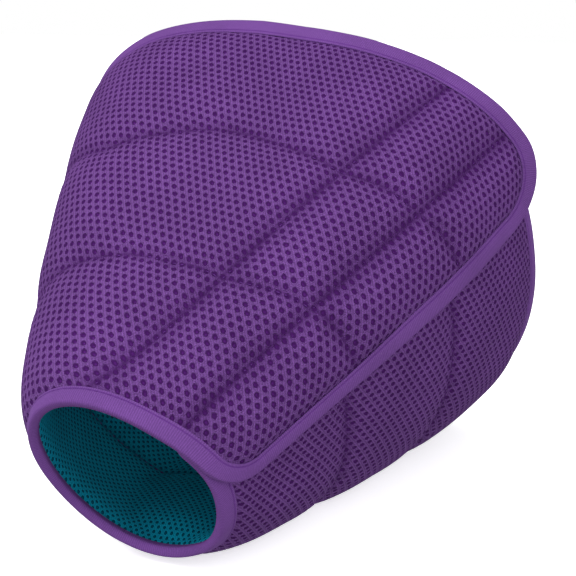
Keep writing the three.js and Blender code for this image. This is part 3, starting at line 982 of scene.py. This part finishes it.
class Finish(Nodes):
    """A material's nodes, which end in one shader."""

    def __init__(self, name):
        self.material = bpy.data.materials.new(name)
        self.material.use_nodes = True
        super().__init__(self.material.node_tree)
        self.tree.nodes.clear()
        self.shader = self.add("ShaderNodeBsdfPrincipled")
        output = self.add("ShaderNodeOutputMaterial")
        self.feed(output.inputs["Surface"], self.shader.outputs[0])
        self.place = self.add("ShaderNodeTexCoord").outputs["Object"]

    def mix(self, share, first, second, blend="MIX"):
        """Mixes two colours."""
        node = self.add("ShaderNodeMix", data_type="RGBA", blend_type=blend)
        for number, value in ((0, share), (6, first), (7, second)):
            self.feed(node.inputs[number], value)
        return node.outputs[2]

    def noise(self, waves, detail=2.0):
        """Soft noise from 0 to 1 over the piece, with so many waves to the metre."""
        node = self.add("ShaderNodeTexNoise")
        for name, value in (("Vector", self.place), ("Scale", waves), ("Detail", detail)):
            self.feed(node.inputs[name], value)
        return node.outputs["Fac"]

    def pattern_place(self, name):
        """The two numbers of a pattern map, and both as one vector."""
        node = self.add("ShaderNodeUVMap", uv_map=name)
        split = self.add("ShaderNodeSeparateXYZ")
        self.feed(split.inputs[0], node.outputs[0])
        return split.outputs[0], split.outputs[1], node.outputs[0]

    def paint(self, base, broad, fine):
        """Sets the colour, which varies a little, broadly and from thread to thread."""
        wide = self.ease(self.noise(BROAD_WAVES), *BROAD_NOISE, 1 - broad, 1 + broad)
        narrow = self.ease(self.noise(FINE_WAVES), *FINE_NOISE, 1 - fine, 1 + fine)
        shade = self.math("MULTIPLY", wide, narrow)
        grey = self.add("ShaderNodeCombineColor")
        for socket in grey.inputs[:3]:
            self.feed(socket, shade)
        self.feed(self.shader.inputs["Base Color"], self.mix(1.0, base, grey.outputs[0], "MULTIPLY"))

    def bump(self, height, distance):
        """Raises the surface a little by a height from 0 to 1."""
        node = self.add("ShaderNodeBump")
        for name, value in (("Strength", 1.0), ("Distance", distance), ("Height", height)):
            self.feed(node.inputs[name], value)
        self.feed(self.shader.inputs["Normal"], node.outputs[0])

    def cloth(self, roughness, sheen, sheen_colour):
        """Sets the gloss and sheen of a cloth."""
        for name, value in (("Roughness", roughness), ("Specular IOR Level", CLOTH_GLOSS),
                            ("Sheen Weight", sheen), ("Sheen Roughness", SHEEN_ROUGHNESS),
                            ("Sheen Tint", sheen_colour)):
            self.feed(self.shader.inputs[name], value)

    def hole_distance(self, x, y):
        """Distance from the nearest hole's middle, in pitches: the holes are two grids, each
        1 by the square root of 3, one in the middle of the other."""
        tall = math.sqrt(3) / 2
        cos, sin = math.cos(HOLE_LEAN), math.sin(HOLE_LEAN)
        near = []
        for shift_x, shift_y in ((0, 0), (0.5, tall)):
            wrapped = [self.math("WRAP", self.math("SUBTRACT", value, shift), reach, -reach)
                       for value, shift, reach in ((x, shift_x, 0.5), (y, shift_y, tall))]
            leaning = [self.math("ADD", self.math("MULTIPLY", wrapped[0], a / stretch),
                                 self.math("MULTIPLY", wrapped[1], b / stretch))
                       for a, b, stretch in ((cos, sin, HOLE_LONG), (-sin, cos, HOLE_SHORT))]
            squares = [self.math("MULTIPLY", value, value) for value in leaning]
            near.append(self.math("SQRT", self.math("ADD", *squares)))
        return self.math("MINIMUM", *near)


def shaded(tone, share):
    """A colour made darker or lighter."""
    return tuple(min(part * share, 1.0) for part in tone[:3]) + (1.0,)


def mesh_material(name, knit, tone, hole, sheen):
    """Knitted spacer mesh: round holes with raised rims, and fine knit between them, with painted
    highlight round the rims and painted shade in the holes and along the seams.
    """
    finish = Finish(name)
    tones = MESH_TONES
    x, y, pattern = finish.pattern_place("Holes")
    rim = knit.hole_width / knit.pitch / 2
    wobble = finish.ease(finish.noise(WOBBLE_WAVES), *BROAD_NOISE, -HOLE_WOBBLE, HOLE_WOBBLE)
    distance = finish.math("ADD", finish.hole_distance(x, y), wobble)
    land = finish.ease(distance, rim - RIM_SPREAD, rim + RIM_BLEND)
    # Inside a hole: the knit's back seen through it, lighter in the middle, darkened as painted shade of
    # the hole's depth and most towards its edge.
    in_hole = finish.ease(distance, 0.0, HOLE_MIDDLE)
    hole_knit_and_shade = finish.mix(in_hole, shaded(hole, tones.hole_middle), shaded(hole, tones.hole_edge))
    # A ring just outside each hole's rim: raised in the bump, and lightened in colour as painted
    # highlight.
    from_ring = finish.math("ABSOLUTE", finish.math("SUBTRACT", distance, rim + RING_OUT))
    ring = finish.ease(from_ring, 0.0, RING_SPREAD, 1.0, 0.0)
    strand = finish.math("SINE", finish.math("MULTIPLY", y, STRANDS * 2 * math.pi / math.sqrt(3)))
    strand = finish.ease(strand, -1.0, 1.0)
    strands = finish.mix(strand, shaded(tone, tones.strand_low), shaded(tone, tones.strand_high))
    cloth = finish.mix(finish.math("MULTIPLY", ring, RIM_HIGHLIGHT_SHARE), strands, shaded(tone, tones.ring))
    colour_here = finish.mix(land, hole_knit_and_shade, cloth)
    # Painted shade along the seams' valleys, mixed towards the darkened hole colour.
    from_seam = finish.pattern_place("Seam")[0]
    shades = [finish.ease(from_seam, shade.near, shade.far, shade.share, 0.0) for shade in SEAM_SHADES]
    pressed = finish.math("MAXIMUM", *shades)
    colour_here = finish.mix(pressed, colour_here, shaded(hole, tones.pressed))
    finish.paint(colour_here, broad=0.06, fine=0.13)
    cells = finish.add("ShaderNodeTexVoronoi", feature="SMOOTH_F1")
    finish.feed(cells.inputs["Vector"], pattern)
    finish.feed(cells.inputs["Scale"], KNIT_LOOPS)
    loops = finish.ease(cells.outputs["Distance"], *LOOP_SPAN, 1.0, 0.0)
    height = finish.math("MULTIPLY", finish.math("ADD", loops, ring), land)
    finish.bump(height, distance=0.35 * MM)
    finish.cloth(roughness=0.9, sheen=sheen, sheen_colour=shaded(tone, SHEEN_TONE))
    return finish.material


def tape_material(tape, thread):
    """Ribbed binding tape with a sewn line near its border, coloured as its thread and darkened a little
    as painted shade in the line's groove.
    """
    finish = Finish("Binding tape")
    along, across, _ = finish.pattern_place("Tape")
    ribs = finish.math("SINE", finish.math("MULTIPLY", along, 2 * math.pi / RIB_PITCH))
    ribs = finish.ease(ribs, -1.0, 1.0)
    # The sewn line: the thread's colour a little darkened, partly the thread and partly painted shade in
    # its groove.
    from_line = finish.math("ABSOLUTE", finish.math("SUBTRACT", across, TAPE_LINE))
    beside_line = finish.ease(from_line, *LINE_SPAN)
    ribbed = finish.mix(ribs, shaded(tape, TAPE_TONES.rib_low), shaded(tape, TAPE_TONES.rib_high))
    colour_here = finish.mix(beside_line, shaded(thread, TAPE_TONES.line), ribbed)
    finish.paint(colour_here, broad=0.06, fine=0.08)
    weave = finish.math("MULTIPLY", finish.noise(TAPE_WAVES), WEAVE_SHARE)
    finish.bump(finish.math("ADD", finish.math("MULTIPLY", ribs, RIB_SHARE), weave), distance=0.22 * MM)
    finish.cloth(roughness=0.8, sheen=0.06, sheen_colour=shaded(tape, SHEEN_TONE))
    return finish.material


def thread_material(thread):
    """Twisted sewing thread."""
    finish = Finish("Thread")
    finish.paint(thread, broad=0.05, fine=0.15)
    finish.bump(finish.noise(THREAD_WAVES), distance=0.1 * MM)
    finish.cloth(roughness=0.6, sheen=0.2, sheen_colour=thread)
    return finish.material


def strip_material(strip):
    """Fuzzy hook-and-loop tape."""
    finish = Finish("Hook and loop")
    finish.paint(strip, broad=0.1, fine=0.35)
    finish.bump(finish.noise(STRIP_WAVES, detail=4.0), distance=0.5 * MM)
    finish.cloth(roughness=0.95, sheen=0.4, sheen_colour=strip)
    return finish.material


def floor_material(pale):
    """Plain pale studio floor."""
    finish = Finish("Pale floor")
    finish.paint(pale, broad=0.002, fine=0.002)
    for name, value in (("Roughness", 0.9), ("Emission Color", pale), ("Emission Strength", FLOOR_GLOW)):
        finish.feed(finish.shader.inputs[name], value)
    return finish.material


class CONE_OT_cover(bpy.types.Operator):
    """Make the purple mesh cover of the padded wall"""

    bl_idname = "cone.cover"
    bl_label = "Make Cover"

    def execute(self, context):
        sizes, colours = sizes_of(context), colours_of(context)
        piece = mesh_cloth("quilted_cover", Wall(sizes), OUTSIDE)
        knit = knit_of(sizes, OUTSIDE)
        purple = mesh_material("Purple mesh", knit, colours.cover, colours.cover_hole_and_shade, sheen=0.0)
        finish_piece(piece, purple, "cover_mesh", "outer_cover")
        return {"FINISHED"}


class CONE_OT_lining(bpy.types.Operator):
    """Make the teal mesh lining of the padded wall"""

    bl_idname = "cone.lining"
    bl_label = "Make Lining"

    def execute(self, context):
        sizes, colours = sizes_of(context), colours_of(context)
        piece = mesh_cloth("quilted_lining", Wall(sizes), INSIDE)
        knit = knit_of(sizes, INSIDE)
        teal = mesh_material("Teal mesh", knit, colours.lining, colours.lining_hole_and_shade, sheen=0.05)
        finish_piece(piece, teal, "lining_mesh", "inner_lining")
        return {"FINISHED"}


class CONE_OT_binding(bpy.types.Operator):
    """Make the tape that binds the panel's whole edge"""

    bl_idname = "cone.binding"
    bl_label = "Make Binding"

    def execute(self, context):
        colours = colours_of(context)
        piece = edge_tape(Wall(sizes_of(context)))
        ribbed = tape_material(colours.tape, colours.thread)
        finish_piece(piece, ribbed, "binding_tape", "edge_binding")
        return {"FINISHED"}


class CONE_OT_stitches(bpy.types.Operator):
    """Sew the tape's stitches and the quilting seams, on both faces"""

    bl_idname = "cone.stitches"
    bl_label = "Sew Stitches"

    def execute(self, context):
        wall = Wall(sizes_of(context))
        thread = thread_material(colours_of(context).thread)
        for name, rows in (("tape_stitches", tape_stitches(wall)),
                           ("quilting_stitches", quilting_stitches(wall))):
            finish_piece(sew(name, wall.sizes, rows), thread, "binding_tape")
        return {"FINISHED"}


class CONE_OT_strip(bpy.types.Operator):
    """Give the hidden hook-and-loop strip its fuzzy finish"""

    bl_idname = "cone.strip"
    bl_label = "Dress Strip"

    def execute(self, context):
        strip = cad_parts["closure_strip"]
        strip.material_slots[0].material = strip_material(colours_of(context).strip)
        return {"FINISHED"}


# The camera's angle and place in the cone's own frame, read from the photograph's perspective.
VIEW_AZIMUTH = math.radians(23.887)
VIEW_ELEVATION = math.radians(13.355)
VIEW_TARGET = Vector((4.256 * MM, 160.349 * MM, 122.708 * MM))
VIEW_DISTANCE = 747.6 * MM
VIEW_LENS = 77.5
VIEW_SENSOR = 36

# A soft sun from the upper left, a weaker one from the right, and white light from the sky.
Sun = namedtuple("Sun", "name place spread strength")
SUNS = (
    Sun("soft_sun", (-0.54, -0.40, 0.74), math.radians(26), 1.5),
    Sun("fill_sun", (0.75, -0.55, 0.36), math.radians(60), 1.2),
)
SKY_LIGHT = 1.35
LIGHT_FROM_BEHIND = 0.2
BEHIND_SPAN = (0.0, 0.5)
LIGHT_FROM_BELOW = 0.3
BELOW_SPAN = (-0.30, -0.10)
FLOOR_GLOW = 0.62
FLOOR_SIZE = 14


def studio_world():
    """White behind the scene, while its light comes from above and in front, little from
    below the floor and from behind, so that the hollow of the cone is dark."""
    world = bpy.data.worlds.new("Studio")
    world.use_nodes = True
    nodes = Nodes(world.node_tree)
    background = nodes.tree.nodes["Background"]
    split = nodes.add("ShaderNodeSeparateXYZ")
    nodes.feed(split.inputs[0], nodes.add("ShaderNodeTexCoord").outputs["Generated"])
    behind = nodes.ramp(split.outputs[1], *BEHIND_SPAN, SKY_LIGHT, LIGHT_FROM_BEHIND)
    below = nodes.ramp(split.outputs[2], *BELOW_SPAN, LIGHT_FROM_BELOW, 1.0)
    seen = nodes.add("ShaderNodeLightPath").outputs["Is Camera Ray"]
    nodes.feed(background.inputs["Color"], (1, 1, 1, 1))
    nodes.feed(background.inputs["Strength"],
               nodes.ramp(seen, 0.0, 1.0, nodes.math("MULTIPLY", behind, below), 1.0))
    return world


def aim(thing, target):
    """Turns a camera or light, whose place is set, to look at a point."""
    thing.rotation_euler = (Vector(target) - thing.location).to_track_quat("-Z", "Y").to_euler()


class CONE_OT_stage(bpy.types.Operator):
    """Set up the floor, the lights and the camera"""

    bl_idname = "cone.stage"
    bl_label = "Set Stage"

    def execute(self, context):
        scene = context.scene
        wall = Wall(sizes_of(context))
        deselect_all()
        bpy.ops.mesh.primitive_plane_add(size=FLOOR_SIZE, location=(0, 0, 0))
        floor = bpy.context.object
        floor.name = "studio_floor"
        floor.data.materials.append(floor_material(colours_of(context).floor))
        floor.visible_diffuse = False
        for sun in SUNS:
            deselect_all()
            bpy.ops.object.light_add(type="SUN", location=sun.place)
            lamp = bpy.context.object
            lamp.name = sun.name
            lamp.data.angle = sun.spread
            lamp.data.energy = sun.strength
            aim(lamp, (0, 0, 0))
        scene.world = studio_world()
        deselect_all()
        target = VIEW_TARGET + Vector(wall.shift)
        back = Vector((math.sin(VIEW_AZIMUTH) * math.cos(VIEW_ELEVATION),
                       -math.cos(VIEW_AZIMUTH) * math.cos(VIEW_ELEVATION), math.sin(VIEW_ELEVATION)))
        bpy.ops.object.camera_add(location=target + back * VIEW_DISTANCE)
        camera = bpy.context.object
        camera.name = "photo_view"
        aim(camera, target)
        camera.data.sensor_width = VIEW_SENSOR
        camera.data.sensor_fit = "HORIZONTAL"
        camera.data.lens = VIEW_LENS
        camera.data.clip_start = 10 * MM
        scene.camera = camera
        scene.view_settings.view_transform = "Standard"
        return {"FINISHED"}


class CONE_PT_panel(bpy.types.Panel):
    """Lists the cone's pieces, sizes and colours"""

    bl_label = "Recovery Cone"
    bl_idname = "CONE_PT_panel"
    bl_space_type = "VIEW_3D"
    bl_region_type = "UI"
    bl_category = "Cone"

    def draw(self, context):
        column = self.layout.column()
        for operator in OPERATORS:
            column.operator(operator.bl_idname)
        for group in (sizes_of(context), colours_of(context)):
            column.separator()
            for name in group.__annotations__:
                column.prop(group, name)


OPERATORS = (CONE_OT_cover, CONE_OT_lining, CONE_OT_binding, CONE_OT_stitches, CONE_OT_strip,
             CONE_OT_stage)
CLASSES = (ConeSizes, ConeColours, *OPERATORS, CONE_PT_panel)


def register():
    for item in CLASSES:
        bpy.utils.register_class(item)
    bpy.types.Scene.recovery_cone_sizes = bpy.props.PointerProperty(type=ConeSizes)
    bpy.types.Scene.recovery_cone_colours = bpy.props.PointerProperty(type=ConeColours)


def unregister():
    del bpy.types.Scene.recovery_cone_colours
    del bpy.types.Scene.recovery_cone_sizes
    for item in reversed(CLASSES):
        bpy.utils.unregister_class(item)


def main():
    register()
    bpy.ops.cone.cover()
    bpy.ops.cone.lining()
    bpy.ops.cone.binding()
    bpy.ops.cone.stitches()
    bpy.ops.cone.strip()
    bpy.ops.cone.stage()


if __name__ == "__main__":
    main()
